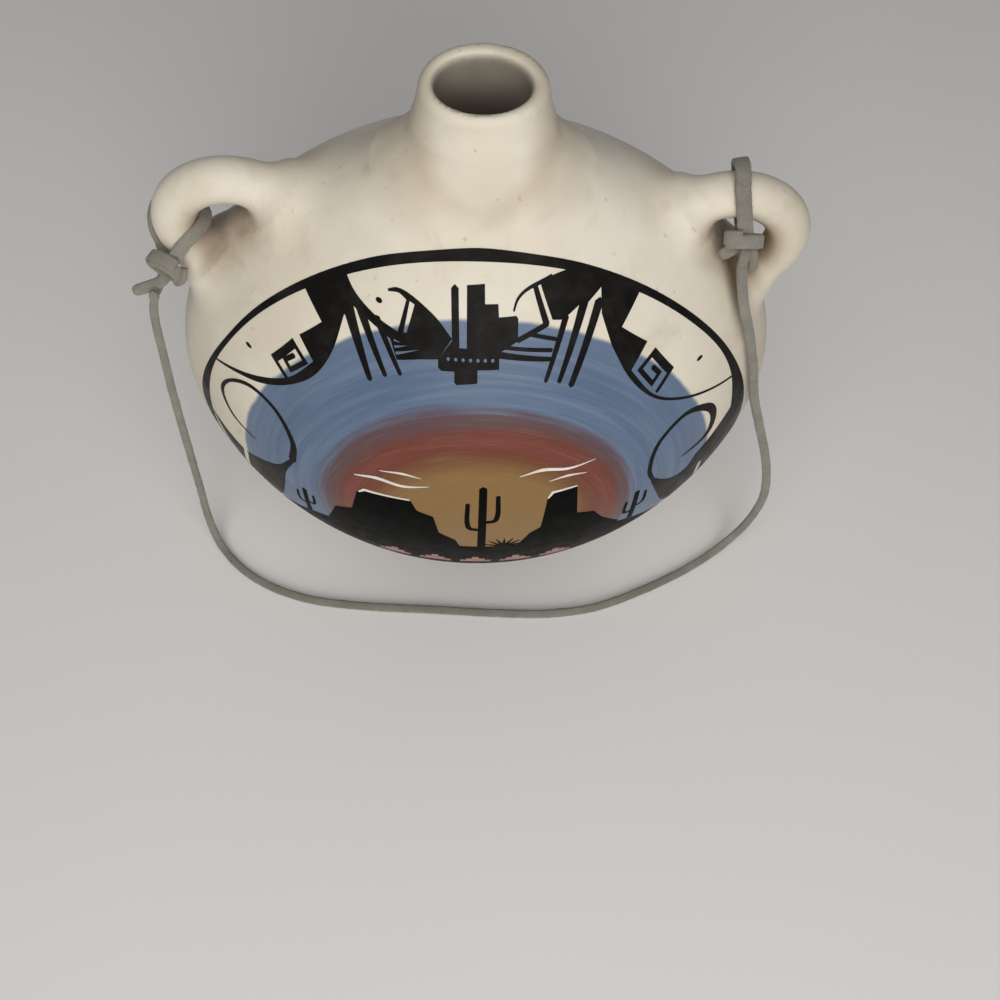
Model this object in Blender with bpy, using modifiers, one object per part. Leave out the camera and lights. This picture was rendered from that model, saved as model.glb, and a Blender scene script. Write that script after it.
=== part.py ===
"""Clay canteen: two luted bowls, an oval neck, two lugs and a knotted suede lace.

Metres, +Z up. The front faces -Y, the seam of the two bowls lies in the plane y = 0,
and the origin is the middle of the foot, on the table.
"""
import math

import bmesh
import bpy
from mathutils import Matrix, Vector

# Bowls
BODY_RADIUS = 0.0862          # seam circle, seen from the front
BOWL_DEPTH = 0.061            # seam to the middle of the face, each bowl
RIM_ROUND = 0.027             # rounding of a bowl where it turns to the seam
WALL = 0.005
FOOT_CUT = 0.0032             # how much of the round is flattened to stand on
LUTE_GAP = 0.0003             # between pieces that are luted together

# Neck
NECK_RISE = 0.0233            # lip top above the crown of the seam circle
FLARE_RISE = 0.0118           # where the neck begins to spread, above the crown
LIP_WIDTH = 0.0295            # outside, across the canteen
BORE_WIDTH = 0.0228           # inside, across the canteen
NECK_OVAL_RATIO = 0.84        # front-to-back size over the size across
COLLAR_SPREAD = 0.0009        # how much wider the neck is there than its lip, each side
FLARE_ROUND = 0.009
FLARE_SLOPE = math.radians(60)

# Lugs
LEFT_LUG_ANGLE = math.radians(46.6)   # from the neck round to each lug
RIGHT_LUG_ANGLE = math.radians(48.4)
LUG_RADIUS = 0.016                # middle of the rolled clay
LUG_THICKNESS = 0.0116
LUG_ROOT = 0.0165                 # thickness where it is smeared on to the shoulder
LUG_PLAIN_ARC = math.radians(70)  # even thickness this far to each side of the top of the arch
LUG_SUNK_ARC = math.radians(108)  # how far the roll is followed, to well inside the shoulder

# Lace
LACE_WIDTH = 0.003
LACE_SPACING = 0.0076             # between points along the free stretch
LOOP_STEPS = 22
KNOT_SIZE = 0.0078
WRAP_RADIUS = 0.0026
WRAP_THICKNESS = 0.003
KNOT_GAP = 0.0003
TAIL_WIDTH = 0.003

# Left loop hangs on the outer limb, tilted down to the front
LEFT_LOOP_ANGLE = math.radians(-5)
LEFT_LOOP_SLANT = math.radians(19)
LEFT_LOOP_HOOK = 2                # how sharply the loop turns aside to its knot
LEFT_KNOT_TURN = math.radians(-69)
LEFT_KNOT_REACH = 0.0102
LEFT_EXIT_SHIFT = -0.0045         # lace leaves this far aside from the middle of its knot
LEFT_EXIT_DROP = 0.0045           # and this far below it
LEFT_TAIL = ((-0.0026, -0.0010, -0.0031), (-0.0062, -0.0018, -0.0045), (-0.0100, -0.0026, -0.0056))

# Right loop crosses the top of the arch, with its knot in front of the eye
RIGHT_LOOP_ANGLE = math.radians(81)
RIGHT_LOOP_SLANT = math.radians(9)
RIGHT_LOOP_HOOK = 24
RIGHT_KNOT_TURN = math.radians(-128.9)
RIGHT_KNOT_REACH = 0.01163
RIGHT_EXIT_SHIFT = -0.0008
RIGHT_EXIT_DROP = 0.003
RIGHT_TAIL = ((-0.0028, -0.0008, -0.0012), (-0.0045, -0.0014, -0.0020), (-0.0062, -0.0020, -0.0028))

# Free stretch between the two exits: down the left side, along the table, up the right side
LACE_ROUTE = (
    (-0.0872, -0.0140, 0.1205), (-0.0886, -0.0150, 0.1015),
    (-0.0896, -0.0170, 0.0810), (-0.0905, -0.0187, 0.0560), (-0.0914, -0.0203, 0.0300),
    (-0.0916, -0.0228, 0.0120), (-0.0890, -0.0278, 0.0032), (-0.0825, -0.0354, 0.0018),
    (-0.0729, -0.0424, 0.0018), (-0.0586, -0.0480, 0.0018), (-0.0414, -0.0506, 0.0018),
    (-0.0150, -0.0520, 0.0018), (0.0100, -0.0532, 0.0018), (0.0262, -0.0532, 0.0018),
    (0.0421, -0.0508, 0.0018), (0.0594, -0.0441, 0.0018), (0.0766, -0.0352, 0.0018),
    (0.0878, -0.0278, 0.0032), (0.0952, -0.0232, 0.0120), (0.0974, -0.0218, 0.0300),
    (0.0945, -0.0215, 0.0480), (0.0900, -0.0216, 0.0640), (0.0850, -0.0214, 0.0790),
    (0.0802, -0.0211, 0.0940), (0.0765, -0.0206, 0.1095), (0.0731, -0.0187, 0.1215),
    (0.0688, -0.0165, 0.1345),
)

CENTRE_HEIGHT = BODY_RADIUS - FOOT_CUT
CROWN_HEIGHT = CENTRE_HEIGHT + BODY_RADIUS
MOUTH_HEIGHT = CROWN_HEIGHT + NECK_RISE

CLAY = (0.72, 0.65, 0.54)
SUEDE = (0.27, 0.25, 0.20)
CLAY_ROUGHNESS = 0.55
SUEDE_ROUGHNESS = 0.9

BODY_STEPS = 64
NECK_STEPS = 40
LUG_STEPS = 30
LUG_ROUNDNESS = 5
DOME_ARC_STEPS = 9
RIM_ARC_STEPS = 5
LIP_ARC_STEPS = 6
FLARE_ARC_STEPS = 4
MERGE = 0.00001


def clear_scene():
    for obj in list(bpy.data.objects):
        bpy.data.objects.remove(obj, do_unlink=True)


def new_collection(name):
    collection = bpy.data.collections.new(name)
    bpy.context.scene.collection.children.link(collection)
    return collection


def file_under(obj, collection):
    for other in list(obj.users_collection):
        other.objects.unlink(obj)
    collection.objects.link(obj)
    return obj


def finish(obj, colour, roughness):
    material = bpy.data.materials.new(obj.name)
    material.use_nodes = True
    shader = material.node_tree.nodes["Principled BSDF"]
    shader.inputs["Base Color"].default_value = (*colour, 1.0)
    shader.inputs["Roughness"].default_value = roughness
    shader.inputs["Metallic"].default_value = 0.0
    material.diffuse_color = (*colour, 1.0)
    obj.data.materials.append(material)


def as_cutter(obj):
    obj.hide_render = True
    obj.display_type = 'WIRE'
    return obj


def boolean(obj, other, operation):
    modifier = obj.modifiers.new(operation.lower() + "_" + other.name, 'BOOLEAN')
    modifier.operation = operation
    modifier.solver = 'EXACT'
    modifier.object = other


def turned(name, profile, steps, collection, closed=False):
    """Revolve an (x, z) profile, listed down its outer side, about the local Z axis."""
    mesh = bpy.data.meshes.new(name)
    edges = [(i, i + 1) for i in range(len(profile) - 1)]
    if closed:
        edges.append((len(profile) - 1, 0))
    mesh.from_pydata([(x, 0.0, z) for x, z in profile], edges, [])
    obj = bpy.data.objects.new(name, mesh)
    collection.objects.link(obj)
    screw = obj.modifiers.new("turn", 'SCREW')
    screw.steps = steps
    screw.render_steps = steps
    screw.use_merge_vertices = True
    screw.merge_threshold = MERGE
    screw.use_smooth_shade = True
    return obj


def bowl_profile(radius, depth, rim):
    """Dome arc from the middle of the face, then the rim arc, tangent to it, down to the seam."""
    rim_centre = radius - rim
    dome = (rim_centre ** 2 + depth ** 2 - rim ** 2) / (2 * (depth - rim))
    behind = dome - depth
    turn = math.atan2(rim_centre, behind)
    points = []
    for i in range(DOME_ARC_STEPS):
        angle = turn * i / DOME_ARC_STEPS
        points.append((dome * math.sin(angle), dome * math.cos(angle) - behind))
    for i in range(RIM_ARC_STEPS + 1):
        angle = turn + (math.pi / 2 - turn) * i / RIM_ARC_STEPS
        points.append((rim_centre + rim * math.sin(angle), rim * math.cos(angle)))
    return points


def lens_profile(radius, depth, rim):
    """Both bowls at once: a bowl profile and its mirror image below the seam."""
    upper = bowl_profile(radius, depth, rim)
    lower = [(x, -z) for x, z in reversed(upper[:-1])]
    return upper + lower


def stand_on_edge(obj, facing):
    """Turn a shape made about Z so that its axis runs front to back, facing -Y or +Y."""
    obj.rotation_euler = (-facing * math.pi / 2, 0.0, 0.0)
    obj.location = (0.0, 0.0, CENTRE_HEIGHT)


def block_below(name, top, collection):
    bpy.ops.mesh.primitive_cube_add(size=1.0)
    block = bpy.context.object
    block.name = name
    side = 3 * BODY_RADIUS
    block.scale = (side, side, side)
    block.location = (0.0, 0.0, top - side / 2)
    return as_cutter(file_under(block, collection))


def make_cutters(collection):
    table = block_below("below_table", 0.0, collection)
    floor = block_below("below_floor", WALL, collection)
    cavity = as_cutter(turned(
        "cavity", lens_profile(BODY_RADIUS - WALL, BOWL_DEPTH - WALL, RIM_ROUND - WALL),
        BODY_STEPS, collection))
    stand_on_edge(cavity, -1)
    boolean(cavity, floor, 'DIFFERENCE')
    grown = LUTE_GAP
    envelope = as_cutter(turned(
        "envelope",
        lens_profile(BODY_RADIUS + grown, BOWL_DEPTH + LUTE_GAP / 2 + grown, RIM_ROUND + grown),
        BODY_STEPS, collection))
    stand_on_edge(envelope, -1)
    height = MOUTH_HEIGHT - CENTRE_HEIGHT
    bpy.ops.mesh.primitive_cylinder_add(vertices=NECK_STEPS, radius=BORE_WIDTH / 2, depth=height)
    bore = bpy.context.object
    bore.name = "bore"
    bore.scale.y = NECK_OVAL_RATIO
    bore.location = (0.0, 0.0, CENTRE_HEIGHT + height / 2)
    as_cutter(file_under(bore, collection))
    return {"table": table, "cavity": cavity, "envelope": envelope, "bore": bore}


def make_bowl(name, facing, collection, cutters):
    seam = LUTE_GAP / 2
    profile = [(x, z + seam) for x, z in bowl_profile(BODY_RADIUS, BOWL_DEPTH, RIM_ROUND)]
    profile.append((0.0, seam))
    bowl = turned(name, profile, BODY_STEPS, collection)
    stand_on_edge(bowl, facing)
    for cutter in ("cavity", "table", "bore"):
        boolean(bowl, cutters[cutter], 'DIFFERENCE')
    finish(bowl, CLAY, CLAY_ROUGHNESS)


def neck_profile():
    """Rolled lip, collar, flare and a skirt that runs below the shoulder, then up the bore."""
    outer = LIP_WIDTH / 2
    bore = BORE_WIDTH / 2
    roll = (outer - bore) / 2
    points = []
    for i in range(LIP_ARC_STEPS + 1):
        angle = math.pi / 2 - math.pi / 2 * i / LIP_ARC_STEPS
        points.append((bore + roll + roll * math.cos(angle), MOUTH_HEIGHT - roll + roll * math.sin(angle)))
    collar = outer + COLLAR_SPREAD
    spread = CROWN_HEIGHT + FLARE_RISE
    slope = math.pi / 2 - FLARE_SLOPE
    for i in range(FLARE_ARC_STEPS + 1):
        angle = slope * i / FLARE_ARC_STEPS
        points.append((collar + FLARE_ROUND * (1 - math.cos(angle)), spread - FLARE_ROUND * math.sin(angle)))
    skirt = CENTRE_HEIGHT + BODY_RADIUS / 2
    start, height = points[-1]
    points.append((start + (height - skirt) / math.tan(FLARE_SLOPE), skirt))
    points.append((bore, skirt))
    for i in range(LIP_ARC_STEPS):
        angle = math.pi - math.pi / 2 * i / LIP_ARC_STEPS
        points.append((bore + roll + roll * math.cos(angle), MOUTH_HEIGHT - roll + roll * math.sin(angle)))
    return points


def make_neck(collection, cutters):
    neck = turned("neck", neck_profile(), NECK_STEPS, collection, closed=True)
    neck.scale.y = NECK_OVAL_RATIO
    boolean(neck, cutters["envelope"], 'DIFFERENCE')
    finish(neck, CLAY, CLAY_ROUGHNESS)


def lug_middle(side):
    """Middle of a lug's arch, on the seam circle, and the angle it stands at."""
    angle = LEFT_LUG_ANGLE if side < 0 else RIGHT_LUG_ANGLE
    return side * BODY_RADIUS * math.sin(angle), CENTRE_HEIGHT + BODY_RADIUS * math.cos(angle), angle


def make_lug(name, side, collection, cutters):
    """A roll of clay bent to an arch over the shoulder, thicker at both roots, cut to sit on it."""
    hub_x, hub_z, angle = lug_middle(side)
    points = []
    widths = []
    for i in range(LUG_STEPS + 1):
        turn = LUG_SUNK_ARC * (2 * i / LUG_STEPS - 1)
        along = math.pi / 2 - angle + turn
        points.append(Vector((
            hub_x + side * LUG_RADIUS * math.cos(along), 0.0, hub_z + LUG_RADIUS * math.sin(along))))
        share = max(0.0, (abs(turn) - LUG_PLAIN_ARC) / (math.pi / 2 - LUG_PLAIN_ARC))
        root = min(1.0, share) ** 2
        widths.append(1.0 + root * (LUG_ROOT / LUG_THICKNESS - 1.0))
    roll = strand(name + "_roll", points, LUG_THICKNESS, collection)
    roll.data.bevel_resolution = LUG_ROUNDNESS
    for spot, width in zip(roll.data.splines[0].points, widths):
        spot.radius = width
    lug = mesh_of_curve(roll, name, collection)
    boolean(lug, cutters["envelope"], 'DIFFERENCE')
    finish(lug, CLAY, CLAY_ROUGHNESS)


def mesh_of_curve(curve_object, name, collection):
    """The curve's shape as a mesh object with its end caps welded on; the curve is removed."""
    bpy.context.view_layer.update()
    evaluated = curve_object.evaluated_get(bpy.context.evaluated_depsgraph_get())
    mesh = bpy.data.meshes.new_from_object(evaluated)
    mesh.name = name
    welded = bmesh.new()
    welded.from_mesh(mesh)
    bmesh.ops.remove_doubles(welded, verts=welded.verts, dist=MERGE)
    welded.to_mesh(mesh)
    welded.free()
    mesh.materials.clear()
    mesh.shade_smooth()
    obj = bpy.data.objects.new(name, mesh)
    obj.matrix_world = curve_object.matrix_world.copy()
    collection.objects.link(obj)
    bpy.data.objects.remove(curve_object, do_unlink=True)
    return obj


def around_limb(side, loop_angle, slant, hook, knot_turn, turn, reach):
    """A point beside a lug's limb: `turn` round the limb from the knot, `reach` from its middle."""
    section = knot_turn + turn
    aside = ((1 + math.cos(turn)) / 2) ** hook
    along = loop_angle + slant * (1 - 2 * aside)
    out = LUG_RADIUS + reach * math.cos(section)
    hub_x, hub_z, _ = lug_middle(side)
    return Vector((
        hub_x + side * out * math.cos(along), reach * math.sin(section), hub_z + out * math.sin(along)))


def loop_points(side, loop_angle, slant, hook, knot_turn, knot_reach):
    """Lace round the limb with both legs running straight to the knot, as a drop shape."""
    snug = LUG_THICKNESS / 2 + LUTE_GAP + LACE_WIDTH / 2
    leg_turn = math.acos(snug / knot_reach)
    knot = around_limb(side, loop_angle, slant, hook, knot_turn, 0.0, knot_reach)
    clear = WRAP_RADIUS + WRAP_THICKNESS / 2 + KNOT_GAP
    fine = LOOP_STEPS * 20
    path = []
    for i in range(fine + 1):
        turn = 2 * math.pi * i / fine
        lap = min(turn, 2 * math.pi - turn)
        reach = snug if lap > leg_turn else snug / math.cos(leg_turn - lap)
        point = around_limb(side, loop_angle, slant, hook, knot_turn, turn, reach)
        if (point - knot).length >= clear:
            path.append(point)
    return even_points(path, LOOP_STEPS), knot


def even_points(path, count):
    """`count` + 1 points at equal distances along a finely pointed path."""
    lengths = [0.0]
    for a, b in zip(path, path[1:]):
        lengths.append(lengths[-1] + (b - a).length)
    picked = []
    place = 0
    for i in range(count + 1):
        target = lengths[-1] * i / count
        while place < len(path) - 2 and lengths[place + 1] < target:
            place += 1
        share = (target - lengths[place]) / (lengths[place + 1] - lengths[place])
        picked.append(path[place].lerp(path[place + 1], share))
    return picked


def smooth_path(route, fine=16):
    """Centripetal Catmull-Rom curve through the route's points."""
    ends = [2 * route[0] - route[1]] + list(route) + [2 * route[-1] - route[-2]]
    path = []
    for a, b, c, d in zip(ends, ends[1:], ends[2:], ends[3:]):
        t1 = math.sqrt((b - a).length)
        t2 = t1 + math.sqrt((c - b).length)
        t3 = t2 + math.sqrt((d - c).length)
        for i in range(fine):
            t = t1 + (t2 - t1) * i / fine
            ab = a.lerp(b, t / t1)
            bc = b.lerp(c, (t - t1) / (t2 - t1))
            cd = c.lerp(d, (t - t2) / (t3 - t2))
            abc = ab.lerp(bc, t / t2)
            bcd = bc.lerp(cd, (t - t1) / (t3 - t1))
            path.append(abc.lerp(bcd, (t - t1) / (t2 - t1)))
    path.append(Vector(route[-1]))
    return path


def strand(name, points, width, collection, origin=Vector()):
    """A round strand along the points, as a bevelled curve whose own origin is `origin`."""
    curve = bpy.data.curves.new(name, 'CURVE')
    curve.dimensions = '3D'
    curve.bevel_depth = width / 2
    curve.bevel_resolution = 2
    curve.use_fill_caps = True
    spline = curve.splines.new('POLY')
    spline.points.add(len(points) - 1)
    for spot, point in zip(spline.points, points):
        spot.co = (*(point - origin), 1.0)
    obj = bpy.data.objects.new(name, curve)
    obj.location = origin
    collection.objects.link(obj)
    return obj


def suede_strand(name, points, width, collection, origin=Vector()):
    obj = strand(name, points, width, collection, origin)
    finish(obj, SUEDE, SUEDE_ROUGHNESS)
    return obj


def make_knot(name, place, legs, collection, cutter_collection):
    """Tight part of the knot as a ball, with the lace's turn round its two legs as a ring."""
    bpy.ops.mesh.primitive_torus_add(
        major_radius=WRAP_RADIUS, minor_radius=WRAP_THICKNESS / 2, major_segments=20, minor_segments=10)
    wrap = bpy.context.object
    wrap.name = name + "_wrap"
    wrap.location = place
    between_legs = (legs[0] + legs[-1]) / 2 - place
    wrap.rotation_euler = between_legs.to_track_quat('Z', 'Y').to_euler()
    as_cutter(file_under(wrap, cutter_collection))
    mesh = bpy.data.meshes.new(name)
    ball = bmesh.new()
    bmesh.ops.create_uvsphere(ball, u_segments=16, v_segments=10, radius=KNOT_SIZE / 2)
    ball.to_mesh(mesh)
    ball.free()
    mesh.shade_smooth()
    knot = bpy.data.objects.new(name, mesh)
    knot.location = place
    collection.objects.link(knot)
    boolean(knot, wrap, 'UNION')
    finish(knot, SUEDE, SUEDE_ROUGHNESS)


def make_tail(name, knot, offsets, collection):
    """Cut end of the lace, starting just off the ball of the knot."""
    first = Vector(offsets[0]).normalized() * (KNOT_SIZE / 2 + KNOT_GAP)
    shift = first - Vector(offsets[0])
    route = [knot + shift + Vector(offset) for offset in offsets]
    suede_strand(name, even_points(smooth_path(route), 4), TAIL_WIDTH, collection)


def make_lace(left_knot, right_knot, collection):
    forward = WRAP_RADIUS + WRAP_THICKNESS / 2 + LACE_WIDTH / 2 - KNOT_GAP * 2
    left_exit = left_knot + Vector((LEFT_EXIT_SHIFT, -forward, -LEFT_EXIT_DROP))
    right_exit = right_knot + Vector((RIGHT_EXIT_SHIFT, -forward, -RIGHT_EXIT_DROP))
    swing = bpy.data.objects.new("strap_axis", None)
    swing.location = (left_exit + right_exit) / 2
    collection.objects.link(swing)
    route = [left_exit] + [Vector(point) for point in LACE_ROUTE] + [right_exit]
    path = smooth_path(route)
    length = sum((b - a).length for a, b in zip(path, path[1:]))
    points = even_points(path, round(length / LACE_SPACING))
    lace = suede_strand("lace", points, LACE_WIDTH, collection, swing.location)
    lace.parent = swing
    lace.matrix_parent_inverse = Matrix.Translation(-swing.location)
    print("lace free length", round(length, 4), "from", tuple(left_exit), "to", tuple(right_exit))


def main():
    clear_scene()
    parts = new_collection("clay_canteen")
    cutting = new_collection("cutters")
    cutters = make_cutters(cutting)
    make_bowl("front_shell", -1, parts, cutters)
    make_bowl("back_shell", 1, parts, cutters)
    make_neck(parts, cutters)
    make_lug("left_lug", -1, parts, cutters)
    make_lug("right_lug", 1, parts, cutters)
    left_path, left_knot = loop_points(
        -1, LEFT_LOOP_ANGLE, LEFT_LOOP_SLANT, LEFT_LOOP_HOOK, LEFT_KNOT_TURN, LEFT_KNOT_REACH)
    right_path, right_knot = loop_points(
        1, RIGHT_LOOP_ANGLE, RIGHT_LOOP_SLANT, RIGHT_LOOP_HOOK, RIGHT_KNOT_TURN, RIGHT_KNOT_REACH)
    suede_strand("left_loop", left_path, LACE_WIDTH, parts)
    suede_strand("right_loop", right_path, LACE_WIDTH, parts)
    make_knot("left_knot", left_knot, left_path, parts, cutting)
    make_knot("right_knot", right_knot, right_path, parts, cutting)
    make_tail("left_tail", left_knot, LEFT_TAIL, parts)
    make_tail("right_tail", right_knot, RIGHT_TAIL, parts)
    make_lace(left_knot, right_knot, parts)
    print("knots", tuple(left_knot), tuple(right_knot))


main()
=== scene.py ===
"""Dresses the clay canteen: one smooth clay body, painted face, suede lace with its knots.

Lengths are in millimetres inside this script and become metres when a mesh is made.
"""

import math

import bpy
import numpy as np
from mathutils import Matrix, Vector, geometry


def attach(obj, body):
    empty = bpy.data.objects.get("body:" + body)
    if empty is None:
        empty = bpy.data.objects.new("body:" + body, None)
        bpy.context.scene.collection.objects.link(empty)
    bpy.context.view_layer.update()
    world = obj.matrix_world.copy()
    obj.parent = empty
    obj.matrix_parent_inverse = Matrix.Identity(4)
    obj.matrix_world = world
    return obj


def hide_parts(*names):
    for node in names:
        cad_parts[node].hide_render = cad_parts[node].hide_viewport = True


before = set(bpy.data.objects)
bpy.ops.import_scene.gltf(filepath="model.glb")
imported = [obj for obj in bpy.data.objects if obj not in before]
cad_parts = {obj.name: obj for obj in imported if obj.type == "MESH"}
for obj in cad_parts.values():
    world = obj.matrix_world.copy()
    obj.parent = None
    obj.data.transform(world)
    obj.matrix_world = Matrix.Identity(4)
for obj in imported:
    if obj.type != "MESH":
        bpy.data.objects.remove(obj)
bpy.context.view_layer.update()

MM = 0.001

# Clay: the sizes of the solids, and what hand smoothing adds to them
BODY_RADIUS = 86.2
BOWL_DEPTH = 61.0
RIM_ROUND = 27.0
WALL = 5.0
CENTRE = 83.0
MOUTH = 192.5
LIP_WIDTH = 29.5
NECK_OVAL = 0.84
BORE_WIDTH = 21.8  # the mouth is trimmed by hand, a little off the middle of its lip
BORE_OVAL = 0.79
BORE_X = -0.3
BORE_Y = -0.7
FLARE_HEIGHT = 181.0
COLLAR_CURVE = 1.5  # how the neck widens from its lip down to there
COLLAR_SPREAD = 0.9  # how much wider it is there than its lip, in front
SIDE_SPREAD = 2.2  # and at its sides
LEAN_HEIGHT = 188.0  # the front of the neck leans forward from here down
LEAN_LENGTH = 24.0
NECK_LEAN = 0.12
FLARE_ROUND = 9.0
FLARE_SLOPE = math.radians(30)
FLARE_LENGTH = 8.0
LEFT_LUG_ANGLE = math.radians(46.6)
RIGHT_LUG_ANGLE = math.radians(48.4)
LUG_RADIUS = 16.0
LUG_THICKNESS = 11.6
LUG_ROOT = 16.5
LUG_PLAIN_ARC = math.radians(70)

RIM_CENTRE = BODY_RADIUS - RIM_ROUND
DOME_RADIUS = (RIM_CENTRE ** 2 + BOWL_DEPTH ** 2 - RIM_ROUND ** 2) / (2 * (BOWL_DEPTH - RIM_ROUND))
DOME_BACK = DOME_RADIUS - BOWL_DEPTH

NECK_BLEND_FRONT = 6.0
NECK_BLEND_SIDE = 16.0
LUG_BLEND = {-1: 9.0, 1: 7.0}  # left and right
EYE_PAD = 6.0  # clay smoothed into the bottom of the left eye: its roundness
EYE_PAD_RISE = 1.2  # and how far it stands above the shoulder
EYE_PAD_BLEND = 6.0
LIP_BLEND = 2.6
EDGE_BLEND = 1.6
CLAY_STEP = 1.3  # of the grid that the clay is meshed on
GRID_SIDE = 12  # room round the clay in that grid
GRID_ROOM = 3
GRID_FOOT = -2.5
RELAX_ROUNDS = 3
SLOPE_REACH = 0.02
LEAST_SLOPE = 1e-6
LONGEST_STEP = 1.0

# Lace
LACE_WIDTH = 2.75
LACE_THICKNESS = 1.5
LACE_DRAWN = 0.82  # share of its width left below the left knot, where it is drawn narrow
LACE_DRAWN_SHARE = 0.35  # how far along that goes
STRAP_THICKNESS = 1.5  # the lace where it is pulled flat round a lug
STRAP_GAP = 0.15
LACE_ROUTE = (
    (-87.2, -14, 120.5), (-88.6, -15, 101.5), (-89.6, -17, 81),
    (-90.5, -18.7, 56), (-91.4, -20.3, 30), (-91.6, -22.8, 12), (-89, -27.8, 3.2),
    (-82.5, -35.4, 1.8), (-72.9, -42.4, 1.8), (-58.6, -48, 1.8), (-41.4, -50.6, 1.8),
    (-15, -52, 1.8), (10, -53.2, 1.8), (26.2, -53.2, 1.8), (42.1, -50.8, 1.8),
    (59.4, -44.1, 1.8), (76.6, -35.2, 1.8), (87.8, -27.8, 3.2), (95.2, -23.2, 12),
    (97.4, -21.8, 30), (94.5, -21.5, 48), (90, -21.6, 64), (85, -21.4, 79),
    (80.2, -21.1, 94), (76.5, -20.6, 109.5), (73.1, -18.7, 121.5), (68.8, -16.5, 134.5),
)

# How the lace is tied to each lug: turns in radians round the limb from the knot. The left strap is
# slanted along its limb; the right one lies `beside` the middle of its arch, at the knot and at the top.
# Offsets are from the middle of the knot; the knot's wrap and inner leg are drawn aside from it.
LEFT_TIE = {
    "side": -1, "angle": math.radians(-5), "slant": math.radians(19), "hook": 2,
    "outer_hook": 1.3, "turn": math.radians(-69), "reach": 10.2, "slack": 2.7,
    "slack_turn": math.radians(272), "strap_width": 3.6, "twist": 0.72,
    "drawn": (-1, 0, 1.4), "across": (0.84, -0.42, -0.26), "wrap_start": math.radians(-160),
    "exit": (-4.5, -5, -4.5), "lead": ((0, 0, 0), (-2.6, 0.8, -3.6), (-4.3, -2.2, -5.4)),
    "tail": ((0, 0, 0), (-2.9, -1.1, -3.4), (-6.4, -1.9, -4.7), (-10.4, -2.7, -5.8)),
    "stub": ((3.6, -0.4, 1.2), (3, -1.6, -1.4), (1, -1.8, -3.4)), "flat": (0.2, -0.6, 0.77)}
RIGHT_TIE = {
    "side": 1, "beside": (2.6875, -0.4), "turn": math.radians(-128.9), "reach": 11.63,
    "slack": 1.9, "slack_turn": math.radians(150), "strap_width": 3.9, "twist": 0,
    "drawn": (-0.6, 0, 1), "across": (1, -0.03, 0), "wrap_start": math.radians(150),
    "exit": (-0.8, -5, -3), "lead": ((0, 0, 0), (-0.5, -3.6, -0.2), (-0.75, -4.8, -1.6)),
    "tail": ((0, 0, 0), (-3, -0.9, -1.3), (-4.6, -1.5, -2), (-6.2, -2.1, -2.8)),
    "stub": ((1.2, 0, 0), (1.8, -2.6, -1.2), (2.7, -4.4, -5.4)), "flat": (-0.2, -0.6, 0.8)}
SLACK_SPREAD = math.radians(45)
OUTER_TWIST = math.radians(75)  # the outer leg lies flat to the limb from here on
INNER_TWIST = 3  # and the inner leg turns away from it at this rate
WRAP_TURNS = 1.3
WRAP_ACROSS = 3.9  # half the knot's width, to the middle of the strip
WRAP_DEEP = 2.4
WRAP_PITCH = 1.0
WRAP_GROWTH = 0.14
WRAP_WIDTH = 3.5
TAIL_WIDTH = 3.1
STUB_WIDTH = 2.5
LEAD_SHARE = 0.96  # section of the lead, so that it ends inside the free lace
ROUND_END = (0.97, 0.86, 0.6)  # width of the last points of a cut end, as shares
STRIP_CORNER = 0.55  # rounding of a strip's edges
CORNER_POINTS = 3
STRIP_WOBBLE = 0.03  # unevenness of its cut edges, as a share of its section
STRIP_STEP = 0.6  # between the rings of points along leads and cut ends
LOOP_STEPS = 90
WRAP_STEPS = 56
LACE_STEP = 1.6
LACE_SEED, LEFT_SEED, RIGHT_SEED = 11, 21, 31
LACE_FACING = np.array([0.0, -1.0, 0.25])  # of the hanging lace, which sways to its sides
HANGING_SWAY, HANGING_WAVES = np.array([0.35, 0.0, 0.0]), 7
LYING_FACING = np.array([0.0, -0.45, 1.0])  # of the lace on the table, which sways to the front
LYING_SWAY, LYING_WAVES = np.array([0.0, 0.12, 0.0]), 10
LYING_HEIGHT = 2.0
LIFTING_HEIGHT = 22.0  # over which the lace turns from lying to hanging

# Camera, at the photograph's place
CAMERA_PLACE = (-4.0, -202.5, 389.7)
CAMERA_PITCH = math.radians(63.57)
CAMERA_ROLL = math.radians(-0.35)
CAMERA_TURN = math.radians(2.0)
CAMERA_LENS = 43.2
SENSOR_WIDTH = 36.0
CLIP_START = 0.01

# Floor and light, in metres but for the floor
FLOOR_REACH = 3000
ROOM_LIGHT = 0.17
ROOM_COLOUR = (0.95, 0.97, 1.0, 1.0)
LAMP_SIZE = 0.9
LAMPS = (("low_lamp", (0.1, -1.1, 0.5), 5.4), ("high_lamp", (0.0, -0.45, 0.78), 3.75))  # places and powers
LAMP_AIM = (0.0, 0.0, 0.08)
LAMP_COLOUR = (1.0, 0.98, 0.95)


def unit(vectors):
    """One vector or rows of them, at length one."""
    return np.asarray(vectors) / np.linalg.norm(vectors, axis=-1, keepdims=True)


def smooth_min(a, b, blend):
    near = np.maximum(blend - np.abs(a - b), 0.0)
    return np.minimum(a, b) - near * near / (4 * blend)


def smooth_max(a, b, blend):
    return -smooth_min(-a, -b, blend)


def lens_field(x, y, z):
    across = np.hypot(x, z - CENTRE)
    deep = np.abs(y)
    dome = np.hypot(across, deep + DOME_BACK) - DOME_RADIUS
    rim = np.hypot(across - RIM_CENTRE, deep) - RIM_ROUND
    return np.where(across * DOME_BACK < (deep + DOME_BACK) * RIM_CENTRE, dome, rim)


def sideways(x, y):
    """0 in front of the neck and behind it, 1 at its sides."""
    return np.abs(x) / np.maximum(np.hypot(x, y), MM)


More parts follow.
